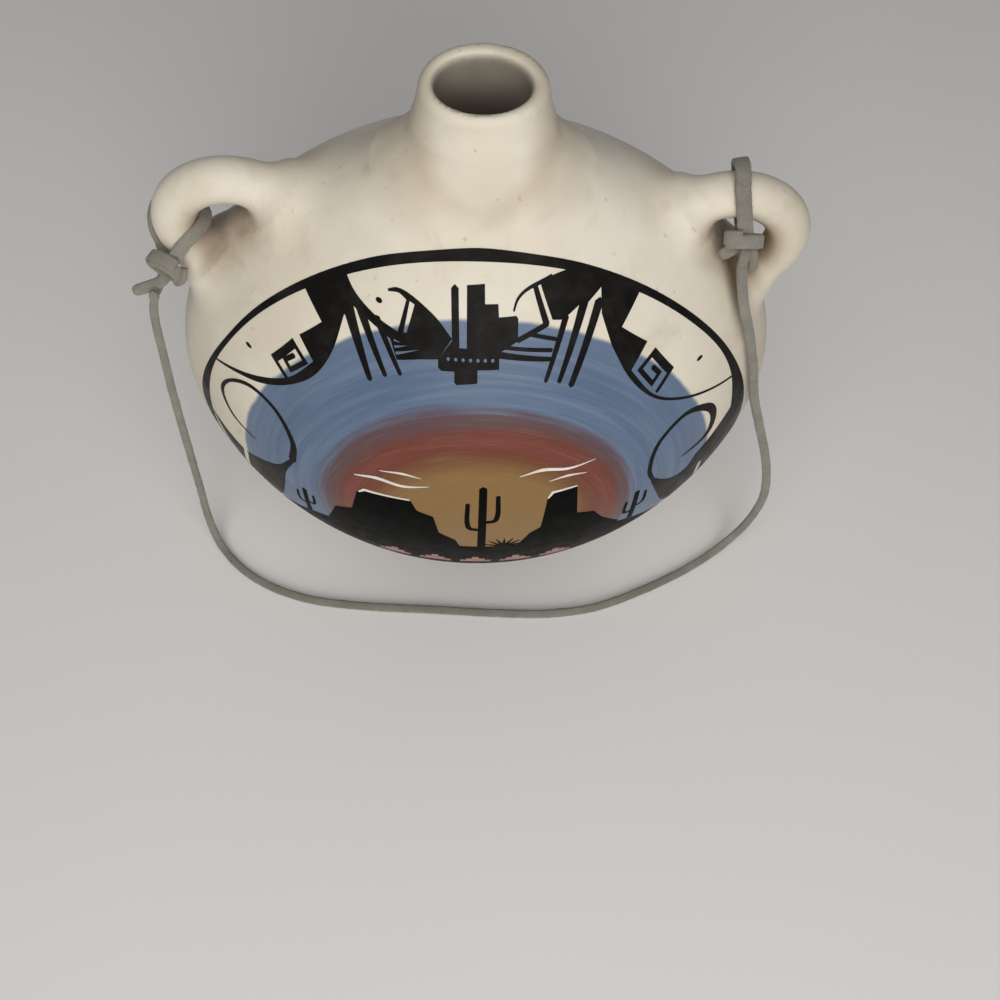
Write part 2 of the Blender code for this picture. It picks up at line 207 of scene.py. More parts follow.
def neck_field(x, y, z):
    """A collar that leans forward in front; at its sides the neck spreads into the shoulders."""
    lean = NECK_LEAN * np.clip(LEAN_HEIGHT - z, 0.0, LEAN_LENGTH)
    oval = np.hypot(x, np.where(y < 0, np.minimum(y + lean, 0.0), y) / NECK_OVAL)
    side = sideways(x, y) ** 2
    drop = FLARE_HEIGHT - z
    arc = FLARE_ROUND * math.sin(FLARE_SLOPE)
    on_arc = np.clip(drop, 0.0, arc)
    flare = FLARE_ROUND - np.sqrt(FLARE_ROUND ** 2 - on_arc ** 2)
    flare = flare + np.clip(drop - arc, 0.0, FLARE_LENGTH) * math.tan(FLARE_SLOPE)
    collar = np.clip((MOUTH - z) / (MOUTH - FLARE_HEIGHT), 0.0, 1.0) ** COLLAR_CURVE
    radius = LIP_WIDTH / 2 + collar * (COLLAR_SPREAD + (SIDE_SPREAD - COLLAR_SPREAD) * side) + flare * side
    return smooth_max((oval - radius) * math.cos(FLARE_SLOPE / 2), z - MOUTH, LIP_BLEND)


def lug_middle(side):
    """Middle of a lug's arch, on the seam circle, and the angle it stands at."""
    angle = LEFT_LUG_ANGLE if side < 0 else RIGHT_LUG_ANGLE
    return side * BODY_RADIUS * math.sin(angle), CENTRE + BODY_RADIUS * math.cos(angle), angle


def lug_field(x, y, z, side):
    hub_x, hub_z, angle = lug_middle(side)
    dx = side * (x - hub_x)
    dz = z - hub_z
    along = dx * math.sin(angle) + dz * math.cos(angle)
    beside = dx * math.cos(angle) - dz * math.sin(angle)
    turn = np.abs(np.arctan2(beside, along))
    share = np.clip((turn - LUG_PLAIN_ARC) / (math.pi / 2 - LUG_PLAIN_ARC), 0.0, 1.0) ** 2
    thick = LUG_THICKNESS / 2 + share * (LUG_ROOT - LUG_THICKNESS) / 2
    return np.hypot(np.hypot(dx, dz) - LUG_RADIUS, y) - thick


def eye_pad_field(x, y, z):
    hub_x, hub_z, angle = lug_middle(-1)
    sunk = EYE_PAD - EYE_PAD_RISE
    middle_x = hub_x + sunk * math.sin(angle)
    middle_z = hub_z - sunk * math.cos(angle)
    return np.hypot(np.hypot(x - middle_x, z - middle_z), y) - EYE_PAD


def clay_field(points):
    """Below zero inside the clay: bowls, neck and lugs run together, hollowed, cut flat to stand."""
    x, y, z = np.moveaxis(points, -1, 0)
    lens = lens_field(x, y, z)
    blend = NECK_BLEND_FRONT + (NECK_BLEND_SIDE - NECK_BLEND_FRONT) * sideways(x, y)
    outside = smooth_min(lens, neck_field(x, y, z), blend)
    for side in (-1, 1):
        outside = smooth_min(outside, lug_field(x, y, z, side), LUG_BLEND[side])
    outside = smooth_min(outside, eye_pad_field(x, y, z), EYE_PAD_BLEND)
    hollow = smooth_max(lens + WALL, WALL - z, EDGE_BLEND)
    bore = np.maximum(np.hypot(x - BORE_X, (y - BORE_Y) / BORE_OVAL) - BORE_WIDTH / 2, CENTRE - z)
    hollow = smooth_min(hollow, bore, LIP_BLEND)
    shell = smooth_max(outside, -hollow, LIP_BLEND)
    return smooth_max(shell, -z, EDGE_BLEND)


def clay_slope(points):
    slope = np.empty_like(points)
    for axis, shift in enumerate(np.eye(3) * SLOPE_REACH):
        slope[..., axis] = (clay_field(points + shift) - clay_field(points - shift)) / (2 * SLOPE_REACH)
    return slope


def settle(points, rounds=4):
    """Move points along the field's slope until they lie on the clay's surface."""
    for _ in range(rounds):
        slope = clay_slope(points)
        step = clay_field(points) / np.maximum((slope ** 2).sum(-1), LEAST_SLOPE)
        points = points - np.clip(step, -LONGEST_STEP, LONGEST_STEP)[:, None] * slope
    return points


def surface_net(low, high, step):
    """Points and quads of the clay's surface, one point in each grid cell that it crosses."""
    axes = [np.arange(a, b + step, step) for a, b in zip(low, high)]
    grid = np.stack(np.meshgrid(*axes, indexing="ij"), -1)
    value = clay_field(grid)
    inside = value < 0
    cells = np.array(value.shape) - 1
    total = np.zeros((*cells, 3))
    count = np.zeros(cells)
    for axis in range(3):
        for offset in ((0, 0), (0, 1), (1, 0), (1, 1)):
            start = [slice(None)] * 3
            for other, shift in zip([i for i in range(3) if i != axis], offset):
                start[other] = slice(shift, cells[other] + shift)
            stop = list(start)
            start[axis], stop[axis] = slice(0, -1), slice(1, None)
            start, stop = tuple(start), tuple(stop)
            crossed = inside[start] != inside[stop]
            gap = np.where(crossed, value[start] - value[stop], 1.0)
            place = grid[start].copy()
            place[..., axis] += step * value[start] / gap
            total += np.where(crossed[..., None], place, 0.0)
            count += crossed
    used = count > 0
    number = np.full(cells, -1)
    number[used] = np.arange(used.sum())
    quads = []
    for axis in range(3):
        b, c = (axis + 1) % 3, (axis + 2) % 3
        start, stop = [slice(1, -1)] * 3, [slice(1, -1)] * 3
        start[axis], stop[axis] = slice(0, -1), slice(1, None)
        first = inside[tuple(start)]
        found = np.argwhere(first != inside[tuple(stop)])
        outward = first[tuple(found.T)]
        corners = []
        for db, dc in ((0, 0), (1, 0), (1, 1), (0, 1)):
            cell = found.T.copy()
            cell[b] += db
            cell[c] += dc
            corners.append(number[tuple(cell)])
        quad = np.stack(corners, 1)
        quad[~outward] = quad[~outward][:, ::-1]
        quads.append(quad)
    return total[used] / count[used][:, None], np.concatenate(quads)


def relax(points, quads, rounds):
    """Even out the quads, keeping the points on the clay."""
    ends = np.concatenate([quads[:, [i, (i + 1) % 4]] for i in range(4)])
    ends = np.concatenate([ends, ends[:, ::-1]])
    share = np.bincount(ends[:, 0])
    for _ in range(rounds):
        total = np.zeros_like(points)
        np.add.at(total, ends[:, 0], points[ends[:, 1]])
        points = settle(0.5 * points + 0.5 * total / share[:, None], 2)
    return points


FINE = 8  # points on each stretch of a smooth path


def smooth_path(route, fine=FINE):
    """Centripetal Catmull-Rom curve through the route's points."""
    route = [np.array(point, float) for point in route]
    ends = [2 * route[0] - route[1]] + route + [2 * route[-1] - route[-2]]
    path = []
    for a, b, c, d in zip(ends, ends[1:], ends[2:], ends[3:]):
        t1, t2, t3 = np.cumsum([math.sqrt(np.linalg.norm(step)) for step in (b - a, c - b, d - c)])
        for i in range(fine):
            t = t1 + (t2 - t1) * i / fine
            ab = a + (b - a) * t / t1
            bc = b + (c - b) * (t - t1) / (t2 - t1)
            cd = c + (d - c) * (t - t2) / (t3 - t2)
            abc = ab + (bc - ab) * t / t2
            bcd = bc + (cd - bc) * (t - t1) / (t3 - t1)
            path.append(abc + (bcd - abc) * (t - t1) / (t2 - t1))
    path.append(route[-1])
    return np.array(path)


def scene_object(name, data):
    made = bpy.data.objects.new(name, data)
    bpy.context.scene.collection.objects.link(made)
    return made


def mesh_object(name, points, faces, material):
    mesh = bpy.data.meshes.new(name)
    mesh.from_pydata((np.asarray(points) * MM).tolist(), [], [list(map(int, f)) for f in faces])
    mesh.materials.append(material)
    mesh.shade_smooth()
    mesh.update()
    return scene_object(name, mesh)


# Materials


class Paint:
    """A material's node tree with short ways to add to it."""

    def __init__(self, name):
        self.material = bpy.data.materials.new(name)
        self.material.use_nodes = True
        self.tree = self.material.node_tree
        self.shader = self.tree.nodes["Principled BSDF"]
        self.place = self.tree.nodes.new("ShaderNodeTexCoord").outputs["Object"]

    def feed(self, socket, value):
        if isinstance(value, bpy.types.NodeSocket):
            self.tree.links.new(value, socket)
        else:
            socket.default_value = value

    def set(self, name, value):
        self.feed(self.shader.inputs[name], value)

    def node(self, kind, inputs, **settings):
        made = self.tree.nodes.new("ShaderNode" + kind)
        for key, value in settings.items():
            setattr(made, key, value)
        for key, value in inputs.items():
            self.feed(made.inputs[key], value)
        return made

    def math(self, operation, a, b=0.0, clamp=False):
        return self.node("Math", {0: a, 1: b}, operation=operation, use_clamp=clamp).outputs[0]

    def times(self, a, b):
        return self.math('MULTIPLY', a, b)

    def minus(self, a, b):
        return self.math('SUBTRACT', a, b)

    def length(self, a, b):
        return self.math('SQRT', self.math('ADD', self.times(a, a), self.times(b, b)))

    def noise(self, scale, detail=3.0, rough=0.5, vector=None, warp=0.0):
        return self.node("TexNoise", {
            "Vector": self.place if vector is None else vector, "Scale": scale, "Detail": detail,
            "Roughness": rough, "Distortion": warp}).outputs["Fac"]

    def spread(self, value, low, high, to_low=0.0, to_high=1.0):
        return self.node("MapRange", {
            "Value": value, "From Min": low, "From Max": high, "To Min": to_low, "To Max": to_high},
            interpolation_type='SMOOTHSTEP').outputs["Result"]

    def cloud(self, noise, limits, to_low=0.0, to_high=1.0, warp=0.0):
        """Noise of some scale, detail and roughness, spread from between its limits."""
        return self.spread(self.noise(*noise, warp=warp), *limits, to_low, to_high)

    def mix(self, share, a, b):
        return self.node("Mix", {0: share, 6: a, 7: b}, data_type='RGBA').outputs[2]

    def ramp(self, value, stops):
        made = self.node("ValToRGB", {"Fac": value})
        elements = made.color_ramp.elements
        while len(elements) < len(stops):
            elements.new(1.0)
        for element, (place, colour) in zip(elements, stops):
            element.position = place
            element.color = colour
        return made.outputs["Color"]

    def axes(self):
        return tuple(self.node("SeparateXYZ", {0: self.place}).outputs)

    def bump(self, height, strength, distance, under=None):
        inputs = {"Height": height, "Strength": strength, "Distance": distance}
        if under is not None:
            inputs["Normal"] = under
        return self.node("Bump", inputs).outputs["Normal"]


def tone(red, green, blue):
    return (red, green, blue, 1.0)


CREAM = tone(0.76, 0.705, 0.60)
CREAM_SHADE = tone(0.69, 0.625, 0.505)
# soft smudges, and painted shade on the neck, the right side, the neck's foot and about the eyes
SMUDGE_AND_SHADE = tone(0.44, 0.36, 0.26)
# specks, and the painted shadow of the lace and painted shade in the right eye
DIRT_AND_SHADE = tone(0.16, 0.115, 0.07)
# painted shade inside the bore
BORE_SHADE = tone(0.092, 0.076, 0.054)
BLUE = tone(0.096, 0.142, 0.226)
BLUE_PALE = tone(0.138, 0.19, 0.284)
MAUVE = tone(0.108, 0.062, 0.066)
ROSE = tone(0.152, 0.042, 0.027)
ROSE_PALE = tone(0.178, 0.052, 0.040)
AMBER = tone(0.158, 0.058, 0.025)
GOLD = tone(0.235, 0.137, 0.048)
BRUSH = tone(0.40, 0.36, 0.33)
SUEDE_DARK = tone(0.185, 0.172, 0.14)
SUEDE_LIGHT = tone(0.24, 0.226, 0.19)
SUEDE_NAP = tone(0.33, 0.31, 0.265)
SUEDE_HOLLOW = tone(0.12, 0.105, 0.08)
FLOOR_DARK = tone(0.82, 0.805, 0.79)
FLOOR_LIGHT = tone(0.85, 0.835, 0.82)

# Clouds of noise: scale, detail and roughness; its limits; what it spreads to
CLAY_SHADE = (28, 4.0, 0.6), (0.35, 0.7)
CLAY_SMEAR = (45, 5.0, 0.65), (0.52, 0.76), 0.0, 0.36
SMEAR_WARP = 0.6
CLAY_SPECKS = (420, 2.0), (0.70, 0.78), 0.0, 0.30
CLAY_MOTTLE = (120, 3.0), (0.25, 0.65), 0.35, 0.8
CLAY_SATIN = (60, 4.0, 0.6), (0.3, 0.7), 0.40, 0.55
FACE_GLOSS = (140, 3.0), (0.3, 0.7), 0.28, 0.36
SLIP_SHADE = (160, 4.0, 0.6), (0.4, 0.75)
SLIP_GLOSS = (220, 3.0), (0.3, 0.7)
SUEDE_PATCHES = (110, 3.0, 0.6), (0.3, 0.7)
FLOOR_SATIN = (30, 2.0), (0.3, 0.7), 0.62, 0.72

# Plain noise, and the strength and height of the bumps made with it
GRAIN_NOISE, GRAIN_BUMP = (900, 3.0, 0.6), (0.10, 0.0003)
DENT_NOISE, DENT_BUMP = (70, 3.0), (0.22, 0.0006)
SLIP_NOISE, SLIP_BUMP = (600, 2.0), (0.08, 0.0002)
NAP_NOISE, NAP_BUMP = (1500, 4.0, 0.65), (0.35, 0.0004)
EDGE_NOISE, EDGE_WANDER = (90, 2.0), 1.2
RING_NOISE, RING_WANDER = (35, 2.0), 4.0
FLOOR_NOISE = (6, 2.0)

NAP_HIGH = (0.45, 0.70, 0.0, 0.25)  # limits of the nap, and what it spreads to
NAP_LOW = (0.30, 0.50, 0.3, 0.0)
NAP_ROUGH = (0.3, 0.7, 0.85, 0.98)
SUEDE_SHEEN = 0.2
CLAY_SHINE = 0.18
SLIP_SHINE = 0.05
SLIP_ROUGH_RANGE = 0.1

BLUE_EDGE = 66.2  # radius of the blue on the face
BLUE_SOFT = 0.5
SKY_STREAK = (0.38, 0.72)
SKY_PALE_FROM = 57.0  # the blue grows paler from here out
SKY_PALE = 0.5
SUNSET_HEIGHT = 3.5  # middle of the warm rings above the middle of the face
SUNSET_EDGE = 44.0
SUNSET_SOFT = 2.0
SUNSET = (  # colours of the rings, by their share of the way out
    (0.0, GOLD), (0.55, GOLD), (0.70, AMBER), (0.76, ROSE), (0.82, ROSE_PALE), (0.86, ROSE),
    (0.93, MAUVE), (1.0, MAUVE))
STREAKS = (1.1, 0.55, 0.0, 4.0)  # ringed noise: along, across, layer, detail
STREAK_REACH = 6.0
RINGED_ROUGH = 0.6
HAIRS = (2.0, 1.9, 7.0, 2.0)
HAIR_SPREAD = (0.5, 0.75, 0.0, 0.10)
GLAZE_EDGE = 77.0
GLAZE_SOFT = 0.8

# Stains and painted shade: places and reaches in millimetres, pairs of limits in metres
LACE_SHADOW_RUB = (65.1, 140.0), (72.6, 119.0)  # painted shadow of the lace below the right eye, with the stain where it rubs, across and up
LACE_SHADOW_RUB_REACH = 3.0
LACE_SHADOW_RUB_DEEP = (-0.008, -0.004)
LACE_SHADOW_RUB_STRENGTH = 0.95
LACE_SHADOW_RUB_UP = (0.116, 0.134)
LACE_SHADOW_RUB_END = 0.1  # share of the painted shadow and stain left at its lower end
NECK_SIDE_SHADE = 0.40  # how much painted shade darkens the sides of the neck
NECK_SIDE_IN = (0.008, 0.015)
NECK_SIDE_OUT = (0.020, 0.030)
NECK_SIDE_UP = (0.158, 0.172)
RIGHT_SIDE_SHADE = 0.32  # and painted shade on the right side of the body
RIGHT_SIDE = (0.045, 0.085)
NECK_FOOT = 17.0  # radius of the line of painted shade along the ridge where the neck was smoothed on to the shoulder
NECK_FOOT_Y = -3.0
NECK_FOOT_REACH = 3.5
NECK_FOOT_SHADE = 0.5
NECK_FOOT_UP = (0.150, 0.156)
EYE_GRIME_AND_SHADE = {-1: (tone(0.27, 0.19, 0.135), 0.75), 1: (DIRT_AND_SHADE, 1.15)}  # colour and strength of the grime and painted shade in the eyes, left and right
EYE_HALO = (0.011, 0.017), (0.007, 0.016)  # out from the middle of the lug, and front to back
EYE_RIM = (0.0098, 0.0134), (0.005, 0.0098)
BORE_EDGE = (-0.0002, 0.0012)
BORE_FOOT = 0.15  # in metres; the painted shade in the bore stops here
BORE_UP = (0.171, 0.187)
BORE_LIGHT = 0.72  # share of the painted shade left at the mouth


def line_mask(p, x, z, start, end, reach):
    """1 along a line between two places seen from the front, fading out at `reach` from it."""
    run = np.subtract(end, start) * MM
    dx = p.minus(x, start[0] * MM)
    dz = p.minus(z, start[1] * MM)
    along = p.math('ADD', p.times(dx, run[0]), p.times(dz, run[1]))
    share = p.math('DIVIDE', along, run @ run, clamp=True)
    off = p.length(p.minus(dx, p.times(share, run[0])), p.minus(dz, p.times(share, run[1])))
    return p.spread(off, 0.0, reach * MM, 1.0, 0.0)


def clay_colour(p, x, y, z):
    """Cream slip with soft smudges; grime and painted shade about the eyes of the lugs; painted shade on the
    neck's sides, the right side, the neck's foot and in the bore; the lace's painted shadow with its rub
    stain.
    """
    cream = p.mix(p.cloud(*CLAY_SHADE), CREAM, CREAM_SHADE)
    cream = p.mix(p.cloud(*CLAY_SMEAR, warp=SMEAR_WARP), cream, SMUDGE_AND_SHADE)
    cream = p.mix(p.cloud(*CLAY_SPECKS), cream, DIRT_AND_SHADE)
    # painted shade on the sides of the neck
    off_middle = p.math('ABSOLUTE', x)
    neck_side_shade = p.times(p.spread(off_middle, *NECK_SIDE_IN, 0.0, NECK_SIDE_SHADE),
                      p.spread(off_middle, *NECK_SIDE_OUT, 1.0, 0.0))
    cream = p.mix(p.times(neck_side_shade, p.spread(z, *NECK_SIDE_UP)), cream, SMUDGE_AND_SHADE)
    # painted shade on the right side of the body
    cream = p.mix(p.spread(x, *RIGHT_SIDE, 0.0, RIGHT_SIDE_SHADE), cream, SMUDGE_AND_SHADE)
    deep = p.math('ABSOLUTE', y)
    mottle = p.cloud(*CLAY_MOTTLE)
    # grime and painted shade in and about the eyes of the lugs
    for side, (grime_and_shade, strength) in EYE_GRIME_AND_SHADE.items():
        hub_x, hub_z, _ = lug_middle(side)
        far = p.length(p.minus(x, hub_x * MM), p.minus(z, hub_z * MM))
        for colour, (out, back) in ((SMUDGE_AND_SHADE, EYE_HALO), (grime_and_shade, EYE_RIM)):
            about = p.times(p.spread(far, *out, strength, 0.0), p.spread(deep, *back, 1.0, 0.0))
            cream = p.mix(p.times(about, mottle), cream, colour)
    # painted shadow of the lace below the right eye, with the stain where it rubs
    lace_shadow_and_rub = p.times(line_mask(p, x, z, *LACE_SHADOW_RUB, LACE_SHADOW_RUB_REACH),
                     p.spread(y, *LACE_SHADOW_RUB_DEEP, LACE_SHADOW_RUB_STRENGTH, 0.0))
    cream = p.mix(p.times(lace_shadow_and_rub, p.spread(z, *LACE_SHADOW_RUB_UP, LACE_SHADOW_RUB_END, 1.0)), cream, DIRT_AND_SHADE)
    # painted shade along the crease at the foot of the neck
    from_neck = p.length(x, p.times(p.minus(y, NECK_FOOT_Y * MM), 1 / NECK_OVAL))
    from_foot = p.math('ABSOLUTE', p.minus(from_neck, NECK_FOOT * MM))
    foot_shade = p.times(p.spread(from_foot, 0.0, NECK_FOOT_REACH * MM, NECK_FOOT_SHADE, 0.0),
                       p.spread(z, *NECK_FOOT_UP))
    cream = p.mix(p.times(foot_shade, mottle), cream, SMUDGE_AND_SHADE)
    # painted shade inside the bore, fading towards the mouth
    from_bore = p.length(p.minus(x, BORE_X * MM), p.times(p.minus(y, BORE_Y * MM), 1 / BORE_OVAL))
    bore = p.times(p.spread(p.minus(from_bore, BORE_WIDTH / 2 * MM), *BORE_EDGE, 1.0, 0.0),
                   p.math('GREATER_THAN', z, BORE_FOOT))
    return p.mix(p.times(bore, p.spread(z, *BORE_UP, 1.0, BORE_LIGHT)), cream, BORE_SHADE)


def ringed_noise(p, radius, angle, along, across, layer, detail):
    """Noise drawn out into rings, as a brush leaves it on a turning pot."""
    place = p.node("CombineXYZ", {
        0: p.times(radius, across), 1: p.times(angle, along), 2: layer}).outputs[0]
    return p.noise(1.0, detail, RINGED_ROUGH, vector=place)


def face_colour(p, x, up, radius):
    """Warm rings round a gold middle, and blue outside them."""
    high = p.minus(up, SUNSET_HEIGHT * MM)
    angle = p.math('ARCTAN2', x, high)
    out = p.times(p.length(x, high), 1 / MM)
    streak = ringed_noise(p, out, angle, *STREAKS)
    hair = ringed_noise(p, radius, angle, *HAIRS)
    drift = p.math('ADD', out, p.times(p.minus(p.noise(*RING_NOISE), 0.5), RING_WANDER))
    drift = p.math('ADD', drift, p.times(p.minus(streak, 0.5), STREAK_REACH))
    sunset = p.ramp(p.math('DIVIDE', drift, SUNSET_EDGE), SUNSET)
    sky = p.mix(p.spread(streak, *SKY_STREAK), BLUE, BLUE_PALE)
    sky = p.mix(p.spread(radius, SKY_PALE_FROM, BLUE_EDGE, 0.0, SKY_PALE), sky, BLUE_PALE)
    picture = p.mix(p.spread(drift, SUNSET_EDGE - SUNSET_SOFT, SUNSET_EDGE + SUNSET_SOFT), sunset, sky)
    return p.mix(p.spread(hair, *HAIR_SPREAD), picture, BRUSH)


def clay_material():
    p = Paint("painted_clay")
    x, y, z = p.axes()
    up = p.minus(z, CENTRE * MM)
    radius = p.times(p.length(x, up), 1 / MM)
    front = p.math('LESS_THAN', y, 0.0)
    edge = p.math('ADD', radius, p.times(p.minus(p.noise(*EDGE_NOISE), 0.5), EDGE_WANDER))
    painted = p.times(front, p.spread(edge, BLUE_EDGE - BLUE_SOFT, BLUE_EDGE + BLUE_SOFT, 1.0, 0.0))
    p.set("Base Color", p.mix(painted, clay_colour(p, x, y, z), face_colour(p, x, up, radius)))
    glazed = p.times(front, p.spread(radius, GLAZE_EDGE - GLAZE_SOFT, GLAZE_EDGE + GLAZE_SOFT, 1.0, 0.0))
    rough = p.node("Mix", {0: glazed, 2: p.cloud(*CLAY_SATIN), 3: p.cloud(*FACE_GLOSS)},
                   data_type='FLOAT')
    p.set("Roughness", rough.outputs[0])
    p.set("Specular IOR Level", CLAY_SHINE)
    grain = p.bump(p.noise(*GRAIN_NOISE), *GRAIN_BUMP)
    p.set("Normal", p.bump(p.noise(*DENT_NOISE), *DENT_BUMP, grain))
    return p.material


def pigment_material(name, dark, light, rough, shine=SLIP_SHINE):
    p = Paint(name)
    p.set("Base Color", p.mix(p.cloud(*SLIP_SHADE), dark, light))
    p.set("Roughness", p.cloud(*SLIP_GLOSS, rough, rough + SLIP_ROUGH_RANGE))
    p.set("Specular IOR Level", shine)
    p.set("Normal", p.bump(p.noise(*SLIP_NOISE), *SLIP_BUMP))
    return p.material


def suede_material():
    p = Paint("suede")
    nap = p.noise(*NAP_NOISE)
    base = p.mix(p.cloud(*SUEDE_PATCHES), SUEDE_DARK, SUEDE_LIGHT)
    base = p.mix(p.spread(nap, *NAP_HIGH), base, SUEDE_NAP)
    p.set("Base Color", p.mix(p.spread(nap, *NAP_LOW), base, SUEDE_HOLLOW))
    p.set("Roughness", p.spread(nap, *NAP_ROUGH))
    p.set("Sheen Weight", SUEDE_SHEEN)
    p.set("Normal", p.bump(nap, *NAP_BUMP))
    return p.material


def floor_material():
    p = Paint("pale_floor")
    p.set("Base Color", p.mix(p.noise(*FLOOR_NOISE), FLOOR_DARK, FLOOR_LIGHT))
    p.set("Roughness", p.cloud(*FLOOR_SATIN))
    return p.material


CLAY = clay_material()
BLACK = pigment_material("black_slip", tone(0.008, 0.0075, 0.007), tone(0.018, 0.0165, 0.015), 0.30)
SOOT = pigment_material("deep_black_slip", tone(0.002, 0.002, 0.002), tone(0.005, 0.0045, 0.004), 0.35, 0.02)
WHITE = pigment_material("white_slip", tone(0.70, 0.66, 0.60), tone(0.80, 0.76, 0.70), 0.22)
PINK = pigment_material("pink_slip", tone(0.34, 0.17, 0.155), tone(0.42, 0.235, 0.21), 0.22)
SUEDE = suede_material()


def make_body():
    reach = BODY_RADIUS + GRID_SIDE
    deep = BOWL_DEPTH + GRID_ROOM
    points, quads = surface_net((-reach, -deep, GRID_FOOT), (reach, deep, MOUTH + GRID_ROOM), CLAY_STEP)
    points = settle(relax(settle(points), quads, RELAX_ROUNDS))
    body = mesh_object("clay_body", points, quads, CLAY)
    body.data.normals_split_custom_set_from_vertices(unit(clay_slope(points)).tolist())
    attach(body, "vessel")
    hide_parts("front_shell", "back_shell", "neck", "left_lug", "right_lug")


# Painted slip, drawn in millimetres across and up from the middle of the face

FILL = 2.5  # between points that let a wide patch follow the curve of the clay
MERGE = 1e-4  # points nearer than this become one
LIFT = 0.10  # slip stands this far above the clay
SINK = 0.12  # and reaches this far into it
LAID_OVER = LIFT * 2  # slip on top of other slip
CURVE_FINE = 6
BRUSH_FINE = 5
RING_FINE = 12
BRUSH_TIP = 0.35  # how far a brush line's point stands out, as a share of its width
KEY_THIN = 1.05
KEY_HEAVY = 1.7
RING = (  # bearing from the top in degrees, outer radius, width of the brush line
    (-180, 78, 2.2), (-145, 79.2, 2.4), (-110, 80, 2.6), (-85, 79.8, 2.6), (-78, 79.1, 1.9),
    (-70, 78.2, 1.2), (-60, 77.4, 0.9), (-45, 77.4, 1.1), (-20, 77.6, 1.6), (0, 77.4, 1.9), (20, 77, 1.4),
    (45, 76.6, 1.2), (60, 76.9, 1.3), (68, 77.2, 2), (75, 77.6, 3.4), (85, 78.1, 5), (110, 78.5, 3.6),
    (145, 78.4, 2.8), (180, 78, 2.2))
DOT = 0.8
DOT_TALL = 0.62
PINPRICK = 0.42
SAGUARO_ARMS = ((-1, 0.42, 0.80), (1, 0.55, 0.90))  # side, foot and top as shares of the height
AGAVE_LEAVES = (-70, -45, -22, 0, 24, 48, 72)  # degrees from upright
FACE_ROUNDS = 30
FACE_SLOPE = -0.3  # least slope allowed when a spot is moved back on to the clay


def curve(*points):
    """Smooth line through the points."""
    return smooth_path(points, CURVE_FINE).tolist()


def stroke(points, widths):
    """Outline of a brush line, with pointed ends; one width for each point."""
    points = np.array(points, float)
    steps = unit(np.diff(points, axis=0))
    before = np.vstack([steps[:1], steps])
    after = np.vstack([steps, steps[-1:]])
    middle = unit(before + after)
    lean = (middle * after).sum(1)[:, None]
    side = np.stack([-middle[:, 1], middle[:, 0]], 1) / lean * np.array(widths, float)[:, None] / 2
    tips = points[0] - steps[0] * widths[0] * BRUSH_TIP, points[-1] + steps[-1] * widths[-1] * BRUSH_TIP
    return np.vstack([tips[:1], points - side, tips[1:], (points + side)[::-1]]).tolist()


def bars(*rows):
    """Straight brush lines; each row has two ends and their widths."""
    return [stroke((a, b), widths) for a, b, *widths in rows]


def brush_curve(points, widths):
    """Brush line along a smooth curve, its width changing evenly between the points."""
    path = smooth_path(points, BRUSH_FINE)
    return stroke(path, np.interp(np.arange(len(path)) / BRUSH_FINE, range(len(points)), widths))


def disc(middle, radius, tall=1.0, count=12):
    turns = np.arange(count) * 2 * math.pi / count
    return [(middle[0] + radius * math.cos(t), middle[1] + radius * tall * math.sin(t)) for t in turns]


def key(corners):
    """Square spiral: a thin brush line, with its second side drawn heavy towards the inside."""
    corners = np.array(corners, float)
    heavy = corners[1:3]
    inward = corners.mean(axis=0) - heavy.mean(axis=0)
    inward *= (KEY_HEAVY - KEY_THIN) / 2 / np.linalg.norm(inward)
    return [stroke(corners, [KEY_THIN] * len(corners)), stroke(heavy + inward, [KEY_HEAVY] * 2)]


def border_ring():
    """Ring of the border, its radius and width changing as a hand-held brush leaves them."""
    bearing, outer, width = smooth_path(RING, RING_FINE).T
    ways = np.stack([np.sin(np.radians(bearing)), np.cos(np.radians(bearing))], 1)
    return np.vstack([ways * outer[:, None], (ways * (outer - width)[:, None])[::-1]]).tolist()


